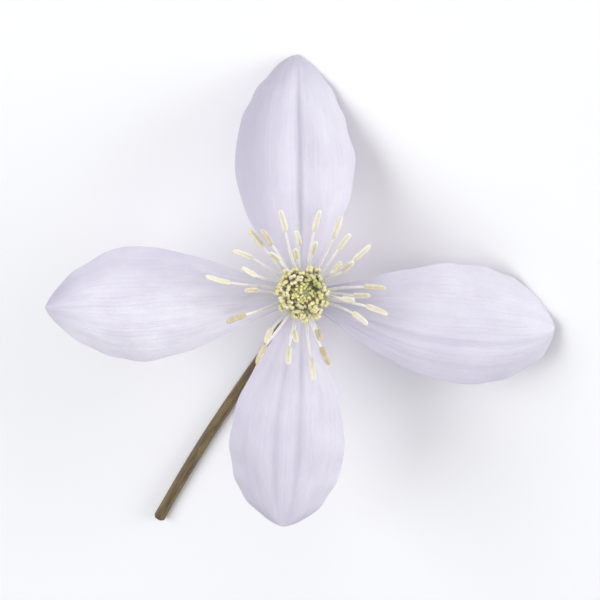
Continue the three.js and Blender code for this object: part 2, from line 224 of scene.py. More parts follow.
# Its solid has this many flat sides, and the table presses the lowest one in by this much.
SOLID_STALK_SIDES, STALK_PRESS = 12, 0.02
STALK_REST_HEIGHT = STALK_RADIUS * math.cos(math.pi / SOLID_STALK_SIDES) - STALK_PRESS
# How firmly its bend holds the directions at its two ends, as a share of its reach.
STALK_FIRMNESS = 0.45
STALK_RUN_STEPS, STALK_DESCENT_STEPS, STALK_SIDES = 70, 60, 48
# Its girth: steps from its cut end, and the share of its radius there.
STALK_GIRTH = [(0, 0.98), (6, 0.94), (100, 0.92), (STALK_RUN_STEPS + STALK_DESCENT_STEPS - 1, 1.02)]
# It has ribs along it and shallower ones that wind round it. Both fade out below the flower.
STALK_RIBS = dict(count=6, height=0.035)
WINDING_RIBS = dict(count=3, height=0.02, winding=0.35)
STALK_RIB_FADE = 6
# Its cut face, from the pith outward: share of its radius, and how deep it is sunk.
STALK_CUT = [
    (0.1, 0.07), (0.28, 0.06), (0.4, 0.01), (0.6, -0.03), (0.8, -0.02), (0.93, -0.03), (0.985, -0.02),
]
# The knob that everything grows from: heights along the flower's axis, and radii there.
RECEPTACLE_PROFILE = [
    (-2.3, 0.78), (-2.0, 0.84), (-1.6, 1.1), (-1.2, 1.5), (-0.85, 1.86), (-0.5, 2.08), (-0.2, 2.15),
    (0.1, 2.14), (0.35, 2.06), (0.55, 1.85), (0.7, 1.6), (0.95, 1.75), (1.3, 1.7), (1.6, 1.45),
    (1.75, 1.1), (1.85, 0.6),
]

# The picture: the width that it shows at the flower, how far off the camera is, and the point in the
# flower head's frame that it faces.
FRAME_WIDTH = 74
CAMERA_DISTANCE = 520
FRAME_CENTRE = np.array([-0.3, -0.8, -1.0])
SENSOR_WIDTH = 36

# Soft square lights, with the direction that each one shines from in the flower head's frame. Their
# sizes, their distance and the floor's half width are in metres.
LIGHT_DISTANCE = 0.8
LIGHTS = [
    dict(name="right", direction=(0.8, 0.05, 0.6), size=0.45, power=4.2, colour=(1.0, 0.995, 0.99)),
    dict(name="left", direction=(-0.8, -0.05, 0.6), size=0.6, power=4.2, colour=(0.985, 0.99, 1.0)),
    dict(name="front", direction=(0.1, 0.2, 1.0), size=0.7, power=1.4, colour=(1.0, 1.0, 1.0)),
]
SKY_STRENGTH = 0.36
FLOOR_HALF_WIDTH = 3.0


# ---- Curves, frames and meshes ----

def scatter(k, n):
    """The same scatter from -1 to 1 on every run, for item k and purpose n."""
    x = math.sin(k * 12.9898 + n * 78.233) * 43758.5453
    return (x - math.floor(x)) * 2 - 1


def lerp(a, b, share):
    return a + (b - a) * share


def ramp(value, start, length):
    """It is 0 up to start, rises over this length, and is 1 from there on."""
    return np.clip((value - start) / length, 0, 1)


def ridge(distance, width):
    return np.exp(-(distance / width) ** 2)


def unit(vectors):
    return vectors / np.linalg.norm(vectors, axis=-1, keepdims=True)


def bezier(points, s):
    """Points on a Bezier curve, by repeated steps between its control points."""
    while len(points) > 1:
        points = [a + (b - a) * s[..., None] for a, b in zip(points, points[1:])]
    return points[0]


def bezier_direction(points, s):
    return unit(bezier([b - a for a, b in zip(points, points[1:])], s))


def polar(angle, radius, z):
    return np.array([radius * math.cos(angle), radius * math.sin(angle), z])


def round_angles(sides):
    return np.linspace(0, 2 * math.pi, sides, endpoint=False)


def turned_about_z(points, angle):
    c, s = math.cos(angle), math.sin(angle)
    return points @ np.array([[c, s, 0], [-s, c, 0], [0, 0, 1]])


def level_frames(centres):
    """Two directions across a path at each of its points, that turn as little as they can."""
    along = unit(np.gradient(centres, axis=0))
    across = np.empty_like(along)
    start = np.cross(along[0], (0, 0, 1))
    across[0] = unit(start if np.linalg.norm(start) > 0.1 else np.cross(along[0], (1, 0, 0)))
    for i in range(1, len(along)):
        across[i] = unit(across[i - 1] - along[i] * (across[i - 1] @ along[i]))
    return across, np.cross(along, across)


def tube(centres, across, depth, half_widths, half_depths, sides):
    """Rings of points round a path, an array of rings x sides x 3."""
    angles = round_angles(sides)
    flat = np.cos(angles)[None, :, None] * half_widths[:, None, None] * across[:, None, :]
    deep = np.sin(angles)[None, :, None] * half_depths[:, None, None] * depth[:, None, :]
    return centres[:, None, :] + flat + deep


def hair(root, direction, droop, length, width):
    """The rings of a three-sided hair that thins towards its end and bends over."""
    share = np.linspace(0, 1, HAIR_RINGS)
    bend = droop * (share ** 2 * length * HAIR_BEND)[:, None]
    centres = root + direction * (share * length)[:, None] + bend
    across, depth = level_frames(centres)
    half = width / 2 * (1 - HAIR_THINNING * share)
    return tube(centres, across, depth, half, half, HAIR_SIDES)


def hair_root(centres, across, depth, radii, i, turn, share):
    """The ways outwards and forwards from ring i of a tube at this turn, and a place in its skin there."""
    outwards = across[i] * math.cos(turn) + depth[i] * math.sin(turn)
    return outwards, unit(centres[i + 1] - centres[i]), centres[i] + outwards * radii[i] * share


def loft_faces(ring_count, sides):
    """Quads between rings of points, and one face over each end."""
    faces = []
    for i in range(ring_count - 1):
        for j in range(sides):
            a = i * sides + j
            b = i * sides + (j + 1) % sides
            faces.append((a, b, b + sides, a + sides))
    faces.append(tuple(reversed(range(sides))))
    faces.append(tuple((ring_count - 1) * sides + j for j in range(sides)))
    return faces


class Body:
    """Collects closed shapes into one mesh, with values for the shader at each point."""

    def __init__(self):
        self.points, self.faces, self.values, self.count = [], [], {}, 0

    def add(self, points, faces, **values):
        self.points.append(points)
        self.faces += [tuple(self.count + i for i in face) for face in faces]
        for name, value in values.items():
            self.values.setdefault(name, []).append(np.broadcast_to(value, len(points)))
        self.count += len(points)

    def add_loft(self, rings, **values):
        """A body through these rings, with one value for each ring or one for all."""
        ring_count, sides = rings.shape[:2]
        for name, value in values.items():
            values[name] = np.repeat(np.broadcast_to(value, ring_count), sides)
        self.add(rings.reshape(-1, 3), loft_faces(ring_count, sides), **values)

    def build(self, name, material, slot, *nodes):
        values = {key: np.concatenate(parts) for key, parts in self.values.items()}
        add_piece(name, np.concatenate(self.points), self.faces, material, nodes, values)


def add_object(name, data):
    thing = bpy.data.objects.new(name, data)
    bpy.context.collection.objects.link(thing)
    return thing


def add_piece(name, points, faces, material, nodes, values):
    """A smooth mesh piece that rides on the flower and stands for these nodes."""
    mesh = bpy.data.meshes.new(name)
    lifted = points.copy()
    lifted[:, 2] = np.maximum(lifted[:, 2], LOWEST)
    mesh.from_pydata((lifted * MM).tolist(), [], faces)
    for key, value in values.items():
        layer = mesh.attributes.new(key, "FLOAT", "POINT")
        layer.data.foreach_set("value", np.asarray(value, np.float32))
    mesh.shade_smooth()
    mesh.materials.append(material)
    piece = add_object(name, mesh)
    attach(piece, "root")
    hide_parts(*nodes)
    return piece


# ---- The sepals' surface ----

def heading(turn, slope):
    turn, slope = math.radians(turn), math.radians(slope)
    return np.array([math.cos(slope) * math.cos(turn), math.cos(slope) * math.sin(turn), math.sin(slope)])


def sepal_midline(sepal):
    """One cubic curve that leaves the base climbing and ends drooping."""
    chord = heading(sepal["swing"] / 2, (sepal["climb"] + sepal["droop"]) / 2)
    base = np.array([SEPAL_BASE_RADIUS, 0, 0])
    tip = base + chord * sepal["length"]
    leave = heading(0, sepal["climb"]) * sepal["length"] / 3
    arrive = heading(sepal["swing"], sepal["droop"]) * sepal["length"] / 3
    return base, base + leave, tip - arrive, tip


def sepal_half_width(sepal, s):
    base = SEPAL_BASE_HALF_WIDTH / sepal["half_width"]
    widest, taper = sepal["widest"], sepal["taper"]
    rising = np.sin(np.clip(s / widest, 0, 1) * math.pi / 2) ** sepal["rise"]
    falling = (1 - np.clip((s - widest) / (1 - widest), 0, 1) ** taper[0]) ** taper[1]
    return sepal["half_width"] * np.where(s < widest, base + (1 - base) * rising, falling)


def sepal_surface(sepal, s, t, waviness=1.0):
    """Points of the blade's middle surface on a grid, with s down the rows and t along them.

    Its base is a channel, each half bulges beside the midrib, and its edges roll back and wave.
    """
    width = sepal_half_width(sepal, s)
    midline = sepal_midline(sepal)
    along = bezier_direction(midline, s)
    across = unit(np.stack([-along[..., 1], along[..., 0], 0 * s], axis=-1))
    up = np.cross(along, across)
    twist = math.radians(sepal["twist"]) * s[..., None]
    side = across * np.cos(twist) + up * np.sin(twist)
    face = np.cross(along, side)
    inside = np.clip(s, 0, 1)
    channel = lerp(SEPAL_CHANNEL, -sepal["roll"], 1 - (1 - inside) ** 3) * width * t * t
    bulge = sepal["swell"] * width * np.sin(math.pi * np.abs(t)) * np.sin(math.pi * inside)
    wave_angle = 2 * math.pi * SEPAL_WAVE_COUNT * s + sepal["phase"] + 2 * t
    wave = waviness * SEPAL_WAVE_HEIGHT * s * np.abs(t) ** 3 * np.sin(wave_angle)
    sideways = (width * t * (1 - SEPAL_DRAW_IN * t * t))[..., None] * side
    return bezier(midline, s) + sideways + (channel + bulge + wave)[..., None] * face


def solid_grid(sepal):
    """The front and back points of the sepal's solid, which are fewer than the fine blade's."""
    rows = SOLID_END * (1 - (1 - np.arange(SOLID_ROWS + 1) / SOLID_ROWS) ** SOLID_ROW_CROWDING)
    columns = 2 * np.arange(SOLID_COLUMNS + 1) / SOLID_COLUMNS - 1
    s, t = np.meshgrid(rows, columns, indexing="ij")
    toward_s = np.where(s > 0.5, -SOLID_SLOPE_STEP, SOLID_SLOPE_STEP)
    toward_t = np.where(t > 0, -SOLID_SLOPE_STEP, SOLID_SLOPE_STEP)
    middle = sepal_surface(sepal, s, t)
    along_s = (sepal_surface(sepal, s + toward_s, t) - middle) * np.sign(toward_s)[..., None]
    along_t = (sepal_surface(sepal, s, t + toward_t) - middle) * np.sign(toward_t)[..., None]
    thickness = lerp(SOLID_EDGE_THICKNESS, SOLID_RIB_THICKNESS, (1 - s) * (1 - np.abs(t)))
    offset = unit(np.cross(along_s, along_t)) * (thickness / 2)[..., None]
    return np.concatenate([(middle + offset).reshape(-1, 3), (middle - offset).reshape(-1, 3)])


# ---- Where the flower head is ----

HEAD_TURN = np.array(Matrix.Rotation(TILT, 3, (-math.sin(LEAN_TOWARDS), math.cos(LEAN_TOWARDS), 0)))


def head_place():
    """Its turn is known, and the box of one solid that hangs free gives its place."""
    sepal = next(one for one in SEPALS if one["name"] == "sepal_left")
    points = turned_about_z(solid_grid(sepal), math.radians(sepal["angle"])) @ HEAD_TURN.T
    low, high = (np.array(corner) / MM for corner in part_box("sepal_left"))
    return ((low - points.min(axis=0)) + (high - points.max(axis=0))) / 2


HEAD_PLACE = head_place()


def on_head(points):
    """From the flower head's own frame, with +Z out of its face, to where it lies."""
    return points @ HEAD_TURN.T + HEAD_PLACE


# ---- Materials ----

def srgb(red, green, blue):
    """A colour given in 0 to 255 as seen, as the linear values that the shader takes."""
    def linear(value):
        value /= 255
        return value / 12.92 if value <= 0.04045 else ((value + 0.055) / 1.055) ** 2.4
    return (linear(red), linear(green), linear(blue), 1)


class Shading:
    """A material's node tree, with short ways to add the nodes used here."""

    def __init__(self, name, **uniform):
        self.material = bpy.data.materials.new(name)
        self.material.use_nodes = True
        self.tree = self.material.node_tree
        self.shader = self.tree.nodes["Principled BSDF"]
        for socket, value in uniform.items():
            self.shader.inputs[socket.replace("_", " ")].default_value = value

    def add(self, kind, inputs, output=0, **settings):
        node = self.tree.nodes.new(kind)
        for key, value in settings.items():
            setattr(node, key, value)
        for key, value in inputs.items():
            self.join(value, node.inputs[key])
        return node.outputs[output]

    def join(self, value, socket):
        if isinstance(value, bpy.types.NodeSocket):
            self.tree.links.new(value, socket)
        else:
            socket.default_value = value

    def set(self, socket, value):
        self.join(value, self.shader.inputs[socket])

    def value(self, name):
        return self.add("ShaderNodeAttribute", {}, "Fac", attribute_name=name)

    def math(self, operation, *values):
        return self.add("ShaderNodeMath", dict(enumerate(values)), operation=operation)

    def times(self, value, factor):
        return self.math("MULTIPLY", value, factor)

    def vector(self, x, y, z=0.0):
        return self.add("ShaderNodeCombineXYZ", {0: x, 1: y, 2: z})

    def place(self):
        return self.add("ShaderNodeTexCoord", {}, "Object")

    def noise(self, vector, scale, detail, roughness=0.5):
        inputs = {"Vector": vector, "Scale": scale, "Detail": detail, "Roughness": roughness}
        return self.add("ShaderNodeTexNoise", inputs, "Fac")

    def range(self, value, low, high, to_low=0.0, to_high=1.0):
        inputs = {"Value": value, 1: low, 2: high, 3: to_low, 4: to_high}
        return self.add("ShaderNodeMapRange", inputs, interpolation_type="SMOOTHSTEP")

    def blend(self, share, first, second):
        node = self.tree.nodes.new("ShaderNodeMix")
        node.data_type = "RGBA"
        self.join(share, node.inputs[0])
        self.join(first, node.inputs[6])
        self.join(second, node.inputs[7])
        return node.outputs[2]

    def tint(self, colour, mask, strength, other):
        """The colour, drawn towards another one where the mask is, by up to this strength."""
        return self.blend(self.times(mask, strength), colour, other)

    def bump(self, height, distance, strength):
        inputs = {"Height": height, "Distance": distance, "Strength": strength}
        self.set("Normal", self.add("ShaderNodeBump", inputs))


def sepal_material():
    """White with a breath of lavender, greyer along the veins, painted shade on the front, rosier on the
    back.
    """
    look = Shading("sepal_skin", Subsurface_Weight=0.35, Subsurface_Scale=0.0007, Sheen_Weight=0.12,
                   Sheen_Roughness=0.4, IOR=1.42)
    look.shader.inputs["Subsurface Radius"].default_value = (1.0, 0.8, 1.0)
    along, across, front = look.value("along"), look.value("across"), look.value("front")
    blade = look.vector(along, look.times(across, 0.5))
    drift = look.times(look.math("SUBTRACT", look.noise(blade, 3.5, 3.0), 0.5), 0.17)
    drifted = look.math("ADD", across, drift)

    # Fine lines that run from base to tip, here strong and there faint, and a net of cells.
    lane = look.times(drifted, 13.0)
    stripe = look.math("ABSOLUTE", look.math("SINE", look.times(lane, math.pi)))
    places = look.vector(look.times(along, 2.2), look.times(drifted, 7.0))
    strength = look.range(look.noise(places, 1.0, 2.0), 0.36, 0.62, 0.25, 1.0)
    line = look.times(look.range(stripe, 0.0, 0.36, 1.0, 0.0), strength)
    cells = look.vector(look.times(along, 30.0), look.times(drifted, 17.0))
    edge_distance = look.add("ShaderNodeTexVoronoi", {"Vector": cells, "Scale": 1.0}, "Distance",
                             feature="DISTANCE_TO_EDGE")
    net = look.range(edge_distance, 0.0, 0.13, 1.0, 0.0)

    # The front, from its skin up: lines, net, painted shade in the creases, painted shade at the base,
    # rim, and painted shade over each sepal's shaded parts.
    blotch = look.noise(blade, 5.0, 4.0, 0.6)
    base_shade = look.range(along, 0.0, 0.34, 1.0, 0.0)
    rim = look.range(look.math("ABSOLUTE", across), 0.8, 1.0)
    colour = look.blend(look.range(blotch, 0.35, 0.7), srgb(226, 224, 233), srgb(215, 212, 223))
    colour = look.tint(colour, line, 0.22, srgb(196, 188, 208))
    colour = look.tint(colour, net, 0.10, srgb(196, 190, 210))
    # Painted shade in the narrow furrows.
    colour = look.tint(colour, look.value("painted_crease_shade"), 0.6, srgb(178, 175, 188))
    colour = look.tint(colour, base_shade, 0.25, srgb(198, 196, 208))
    colour = look.tint(colour, rim, 0.3, srgb(204, 196, 216))
    # Painted shade over each sepal, deeper towards one half's edge, its base and its tip.
    colour = look.blend(look.value("painted_shade"), colour, srgb(190, 187, 201))

    # The back is rosier, most of all towards its base and along the midrib, and wine red at the base.
    rib = look.range(look.math("ABSOLUTE", look.value("across_mm")), 0.0, MIDRIB_HALF_WIDTH, 1.0, 0.0)
    flush = look.math("MAXIMUM", look.range(along, 0.0, 0.8, 0.62, 0.1), look.times(rib, 0.75))
    flush = look.times(flush, look.range(blotch, 0.2, 0.8, 0.6, 1.0))
    back = look.blend(flush, srgb(228, 219, 238), srgb(176, 138, 168))
    back = look.tint(back, line, 0.3, srgb(192, 162, 190))
    back = look.blend(look.range(along, 0.0, 0.13, 0.75, 0.0), back, srgb(122, 82, 106))
    look.set("Base Color", look.blend(front, back, colour))

    grain = look.noise(look.place(), 9000.0, 2.0)
    look.set("Roughness", look.range(grain, 0.3, 0.7, 0.46, 0.62))
    height = look.math("ADD", look.times(line, -0.5), look.times(net, -0.16))
    height = look.math("ADD", height, look.times(grain, 0.35))
    look.bump(height, 0.00006, 0.7)
    return look.material


def filament_material():
    """White and glassy, a little greener where it leaves the receptacle."""
    look = Shading("filament_skin", Roughness=0.42, IOR=1.4)
    streak = look.noise(look.place(), 2500.0, 3.0)
    foot = look.range(look.value("along"), 0.02, 0.4, 1.0, 0.0)
    colour = look.blend(foot, srgb(244, 241, 240), srgb(206, 214, 160))
    colour = look.blend(look.range(streak, 0.4, 0.75, 0.0, 0.35), colour, srgb(222, 216, 214))
    look.set("Base Color", colour)
    look.bump(streak, 0.00003, 0.6)
    return look.material


def anther_material():
    """Cream with a grain of pollen: yellower unripe, browner aged and, as painted shade, on the shaded
    side, and green in the green spots.
    """
    look = Shading("anther_skin", Roughness=0.72)
    grain = look.add("ShaderNodeTexVoronoi", {"Vector": look.place(), "Scale": 14000.0}, "Distance")
    uneven = look.range(look.noise(look.place(), 1500.0, 3.0), 0.35, 0.65)
    young = look.blend(uneven, srgb(240, 233, 180), srgb(224, 216, 148))
    mature = look.blend(uneven, srgb(252, 248, 240), srgb(247, 240, 224))
    old_and_shaded = look.blend(uneven, srgb(210, 195, 172), srgb(186, 165, 138))
    # Aged anthers are browner, and the same brown is painted shade on the flower's shaded side.
    colour = look.blend(look.value("aged"), look.blend(look.value("ripe"), young, mature), old_and_shaded)
    colour = look.tint(colour, look.value("green"), 0.8, srgb(182, 184, 86))
    # Painted shade in the furrow between the lobes.
    colour = look.tint(colour, look.value("groove"), 0.35, srgb(214, 202, 168))
    colour = look.blend(look.range(grain, 0.25, 0.6, 0.0, 0.2), colour, srgb(224, 212, 180))
    look.set("Base Color", colour)
    look.bump(look.times(grain, -1.0), 0.00005, 0.9)
    return look.material


def pistil_material():
    """Yellow-green at the foot, cream at the top, and greenest in the green spots."""
    look = Shading("pistil_skin", Roughness=0.5)
    patch = look.noise(look.place(), 1800.0, 3.0)
    low = look.blend(look.range(patch, 0.35, 0.65), srgb(220, 218, 154), srgb(202, 198, 122))
    colour = look.blend(look.range(look.value("along"), 0.2, 0.95), low, srgb(250, 242, 186))
    colour = look.tint(colour, look.value("green"), 0.9, srgb(186, 192, 80))
    look.set("Base Color", colour)
    look.bump(patch, 0.00004, 0.7)
    return look.material


def hair_material(name, colour):
    look = Shading(name, Roughness=0.38)
    patch = look.noise(look.place(), 900.0, 2.0)
    look.set("Base Color", look.blend(look.range(patch, 0.3, 0.7, 0.0, 0.5), colour, srgb(214, 208, 184)))
    return look.material


def stalk_material():
    """Olive brown with lengthwise fibres, wine red under the sepals, green within them, pale where cut."""
    look = Shading("stalk_skin", Subsurface_Weight=0.08, Subsurface_Scale=0.0004, IOR=1.45)
    down, radial = look.value("down"), look.value("radial")
    fibres = look.vector(look.times(down, 0.16), look.value("round_x"), look.value("round_y"))
    strands = look.noise(fibres, 1.6, 4.0, 0.6)
    patch = look.noise(look.place(), 260.0, 4.0)
    colour = look.blend(look.range(strands, 0.35, 0.68), srgb(92, 78, 56), srgb(130, 112, 78))
    colour = look.blend(look.range(patch, 0.48, 0.72, 0.0, 0.7), colour, srgb(98, 66, 66))
    wine = look.blend(look.range(patch, 0.4, 0.65), srgb(112, 68, 84), srgb(128, 92, 88))
    colour = look.blend(look.range(down, 4.5, 13.0, 0.85, 0.0), colour, wine)
    colour = look.blend(look.range(down, 1.0, 1.6, 0.85, 0.0), colour, srgb(136, 146, 78))

    # The cut: pale pith, then a darker ring in green wood.
    from_ring = look.math("ABSOLUTE", look.math("SUBTRACT", radial, 0.62))
    ring = look.range(from_ring, 0.05, 0.16, 1.0, 0.0)
    pith = look.blend(look.range(radial, 0.25, 0.45), srgb(222, 222, 190), srgb(190, 196, 128))
    pith = look.tint(pith, ring, 0.7, srgb(128, 138, 66))
    look.set("Base Color", look.blend(look.value("cut"), colour, pith))
    look.set("Roughness", look.range(strands, 0.3, 0.7, 0.42, 0.6))
    look.bump(strands, 0.00012, 0.8)
    return look.material


# ---- Sepals ----

def furrow_fade(s):
    return ramp(s, 0, END_FADE) * ramp(1 - s, 0, END_FADE)


def furrow_depth(sepal, s, t, limit=math.inf):
    """How deep the blade folds into its furrows narrower than a limit. They draw together at both ends."""
    across = t * sepal["half_width"]
    depth = sum(deep * ridge(across - place, width) for place, width, deep in sepal["furrows"]
                if width < limit)
    return depth * furrow_fade(s)


def painted_shade(sepal, s, t):
    """Painted shade: some over the whole sepal, more towards one half's edge, its base and its tip."""
    shaded_side = t * math.copysign(1, sepal["shade_edge"])
    edge = abs(sepal["shade_edge"]) * ramp(shaded_side, *SHADE_ACROSS_SPAN) * ramp(s, *SHADE_ALONG_SPAN)
    base = sepal["shade_base"] * (1 - ramp(s, *SHADE_BASE_SPAN))
    tip = sepal["shade_tip"] * ramp(s, *SHADE_TIP_SPAN)
    return np.clip(sepal["shade_overall"] + edge + base + tip, 0, 1)


def blade_relief(sepal, s, t, across, side):
    """How far the front (side 1) or back (side -1) stands out from a smooth blade."""
    veins = sum(ridge((np.abs(t) - place) * sepal["half_width"], SIDE_VEIN_HALF_WIDTH)
                for place in SIDE_VEINS)
    relief = -side * SIDE_VEIN_DEPTH * veins * furrow_fade(s)
    if side > 0:
        return relief
    midrib = MIDRIB_HEIGHT * (1 - np.clip(s, 0, 1)) ** MIDRIB_FALL * ridge(across, MIDRIB_HALF_WIDTH)
    return relief + midrib


def blade_ripple(sepal, s, t):
    """The soft, uneven swell of a living blade, and the crimp of its edge."""
    phase = sepal["phase"]
    swell = sum(height * np.sin(down * s + across * t + n * phase)
                for n, (height, down, across) in enumerate(SWELLS, 1))
    uneven = EDGE_CRIMP["drift"] * np.sin(EDGE_CRIMP["drift_rate"] * s)
    crimp = np.abs(t) ** 4 * np.sin(EDGE_CRIMP["rate"] * s + 3 * phase + uneven)
    return (swell + EDGE_CRIMP["height"] * crimp) * ramp(s, 0, END_FADE)


def blade_grid():
    """Rows of s, which crowd towards the tip, and columns of t, which crowd towards the edges."""
    share = 1 - (1 - np.linspace(0, 1, BLADE_ROWS + 1)) ** BLADE_ROW_CROWDING
    columns = np.sin(np.linspace(-1, 1, BLADE_COLUMNS + 1) * math.pi / 2 * BLADE_COLUMN_CROWDING)
    return np.meshgrid(lerp(BLADE_START, BLADE_END, share), columns / columns[-1], indexing="ij")


def blade_normals(middle, s):
    """Near the tip, where the points of a row run together, they turn into the midline's."""
    normals = unit(np.cross(np.gradient(middle, axis=0), np.gradient(middle, axis=1)))
    central = normals[:, normals.shape[1] // 2, None]
    return unit(lerp(normals, central, ramp(s, *EVEN_TIP_SPAN)[..., None]))


def blade_points(sepal, s, t, width):
    """The front's points and then the back's, on a blade drawn along +X."""
    # Waves and ripples die down where the blade narrows to its ends.
    fullness = np.clip(2 * width / sepal["half_width"], 0, 1)
    middle = sepal_surface(sepal, s, t, fullness)
    nibble = fullness * np.abs(t) ** 6 * np.sin(EDGE_NIBBLE["rate"] * s + sepal["phase"])
    middle += EDGE_NIBBLE["depth"] * nibble[..., None] * unit(np.gradient(middle, axis=1))
    normals = blade_normals(middle, s)
    fold = fullness * blade_ripple(sepal, s, t) - furrow_depth(sepal, s, t)
    middle += fold[..., None] * normals
    fleshy = (1 - t ** 4) * (1 - BLADE_THINNING * np.clip(s, 0, 1))
    half = lerp(BLADE_EDGE_THICKNESS, BLADE_THICKNESS, fleshy) / 2
    skins = [middle + side * (half + blade_relief(sepal, s, t, t * width, side))[..., None] * normals
             for side in (1, -1)]
    return np.concatenate([skin.reshape(-1, 3) for skin in skins])


def blade_faces(row_count, column_count):
    """The quads of the front, the back and the rim between two equal grids of points."""
    at = np.arange(row_count * column_count).reshape(row_count, column_count)
    quads = np.stack([at[:-1, :-1], at[1:, :-1], at[1:, 1:], at[:-1, 1:]], axis=-1).reshape(-1, 4)
    rim = np.concatenate([at[:-1, 0], at[-1, :-1], at[:0:-1, -1], at[0, :0:-1]])
    after = np.roll(rim, -1)
    walls = np.stack([after, rim, rim + at.size, after + at.size], axis=-1)
    return quads, quads[:, ::-1] + at.size, walls


def map_blade(mesh, grid, quad_count, wall_count):
    """Lays the front in the map's left half, the back in its right half, and the rim beside them."""
    row_count, column_count = grid
    v, u = np.meshgrid(np.linspace(MAP_MARGIN, 1 - MAP_MARGIN, row_count),
                       np.linspace(0, 1, column_count), indexing="ij")
    corners = np.stack([u, v], axis=-1).reshape(-1, 2) * (MAP_FACE_WIDTH, 1)
    index = np.empty(len(mesh.loops), np.int32)
    mesh.loops.foreach_get("vertex_index", index)
    index = index.reshape(-1, 4)
    layout = np.empty((len(index), 4, 2))
    front, back = slice(0, quad_count), slice(quad_count, 2 * quad_count)
    layout[front] = corners[index[front]] + (MAP_MARGIN, 0)
    layout[back] = corners[index[back] - row_count * column_count] + (MAP_BACK_START, 0)

    length = 1 - 2 * MAP_MARGIN
    step = np.arange(wall_count) / wall_count * length + MAP_MARGIN
    after = step + length / wall_count
    inner, outer = (np.full(wall_count, edge) for edge in MAP_RIM)
    walls = [(inner, after), (inner, step), (outer, step), (outer, after)]
    layout[2 * quad_count:] = np.stack([np.stack(corner, -1) for corner in walls], axis=1)
    mesh.uv_layers.new(name="OFBake").data.foreach_set("uv", layout.ravel())


def add_sepal(sepal, material):
    s, t = blade_grid()
    width = sepal_half_width(sepal, s)
    points = on_head(turned_about_z(blade_points(sepal, s, t, width), math.radians(sepal["angle"])))
    front, back, walls = blade_faces(*s.shape)
    faces = np.concatenate([front, back, walls]).tolist()
    both = {
        "along": s,
        "across": t,
        "across_mm": t * width,
        # Painted shade in the narrow furrows.
        "painted_crease_shade": furrow_depth(sepal, s, t, NARROW_FURROW) / DEEPEST_FURROW,
        # Painted shade over the sepal.
        "painted_shade": painted_shade(sepal, s, t),
    }
    values = {key: np.tile(value.ravel(), 2) for key, value in both.items()}
    values["front"] = np.repeat([1.0, 0.0], s.size)
    name = sepal["name"]
    piece = add_piece(name + "_blade", points, faces, material, [name], values)
    map_blade(piece.data, s.shape, len(front), len(walls))


# ---- Stamens ----

def stamen_curves():
    """Each stamen's number, whether it is an inner one, its angle and its curve."""
    k = 0
    for inner, family in enumerate(STAMEN_FAMILIES):
        for i in range(family["count"]):
            inward = i / (family["count"] - 1)
            angle = k * GOLDEN_ANGLE + STAMEN_STRAY["angle"] * scatter(k, 1)
            angle += family["gather"] * math.cos(angle)
            root_height = lerp(*family["root_height"], inward) - STAMEN_ROOT_DEPTH
            root = polar(angle, lerp(*family["root_radius"], inward), root_height)
            reach = lerp(*family["reach"], inward) * (1 + STAMEN_STRAY["reach"] * scatter(k, 2))
            height = lerp(*family["height"], inward) * (1 + STAMEN_STRAY["height"] * scatter(k, 3))
            bend_reach = lerp(np.linalg.norm(root), reach, STAMEN_BEND["reach"])
            bend = polar(angle, bend_reach, height * STAMEN_BEND["height"])
            yield k, inner, angle, (root, bend, polar(angle, reach, height))
            k += 1


def stamen_spine(curve, share, k, side):
    """The middle line of stamen k, which sways a little to both sides of its curve."""
    sway = STAMEN_SWAY * np.sin(share * STAMEN_SWAY_RATE + k) * share
    return bezier(curve, share) + sway[:, None] * side


def spine_frame(centres, side):
    across = np.broadcast_to(side, centres.shape)
    return across, np.cross(unit(np.gradient(centres, axis=0)), across)


def greenness(place):
    """How green the flower's middle is at a place on its head, from 0 to 1."""
    return sum(strength * math.exp(-((place[0] - x) ** 2 + (place[1] - y) ** 2) / reach ** 2)
               for x, y, reach, strength in GREEN_SPOTS)


def add_filament(filaments, k, curve, side):
    share = np.linspace(0, ANTHER_START + ANTHER_OVERLAP, FILAMENT_RINGS)
    centres = stamen_spine(curve, share, k, side)
    wide = lerp(*FILAMENT_HALF_WIDTH, share) + FILAMENT_FLARE * np.exp(-share * FILAMENT_FLARE_FALL)
    rings = tube(centres, *spine_frame(centres, side), wide, wide * FILAMENT_FLATNESS, FILAMENT_SIDES)
    filaments.add_loft(on_head(rings), along=share)


def anther_rings(centres, across, depth, plump):
    """An anther has two long lobes with a furrow between them, on both its faces."""
    share = np.linspace(0, 1, ANTHER_RINGS)
    swell = np.sqrt(np.clip(1 - (2 * share - 1) ** 6, ANTHER_END, 1)) * lerp(1.0, ANTHER_TAPER, share)
    angles = round_angles(ANTHER_SIDES)
    lobes = lerp(ANTHER_WAIST, 1, np.abs(np.cos(angles)) ** 0.6)
    flat = (np.cos(angles) * ANTHER_HALF_WIDTH * plump)[None, :] * swell[:, None]
    deep = (np.sin(angles) * ANTHER_HALF_DEPTH * plump * lobes)[None, :] * swell[:, None]
    return centres[:, None, :] + flat[..., None] * across[:, None, :] + deep[..., None] * depth[:, None, :]


def anther_look(k, inner, angle, tip):
    """How ripe, green and aged an anther is, with painted shade on the shaded side added in as age, and
    how much painted shade the furrow puts on each of its points.
    """
    # The side term is painted shade, browning anthers on the flower's shaded side like age.
    aged = AGED_BY_CHANCE * scatter(k, 9) + SHADE_BY_SIDE * math.cos(angle - SHADED_TOWARDS) - AGED_AND_SHADED_LESS
    furrow = 1 - np.abs(np.cos(round_angles(ANTHER_SIDES))) ** 0.5
    return dict(
        ripe=np.clip(RIPENESS[inner] + RIPENESS_STRAY * scatter(k, 7), 0, 1),
        aged=np.clip(aged, 0, AGED_AND_SHADED_MOST) * (1 - inner),
        green=greenness(tip),
        groove=np.tile(furrow, ANTHER_RINGS))


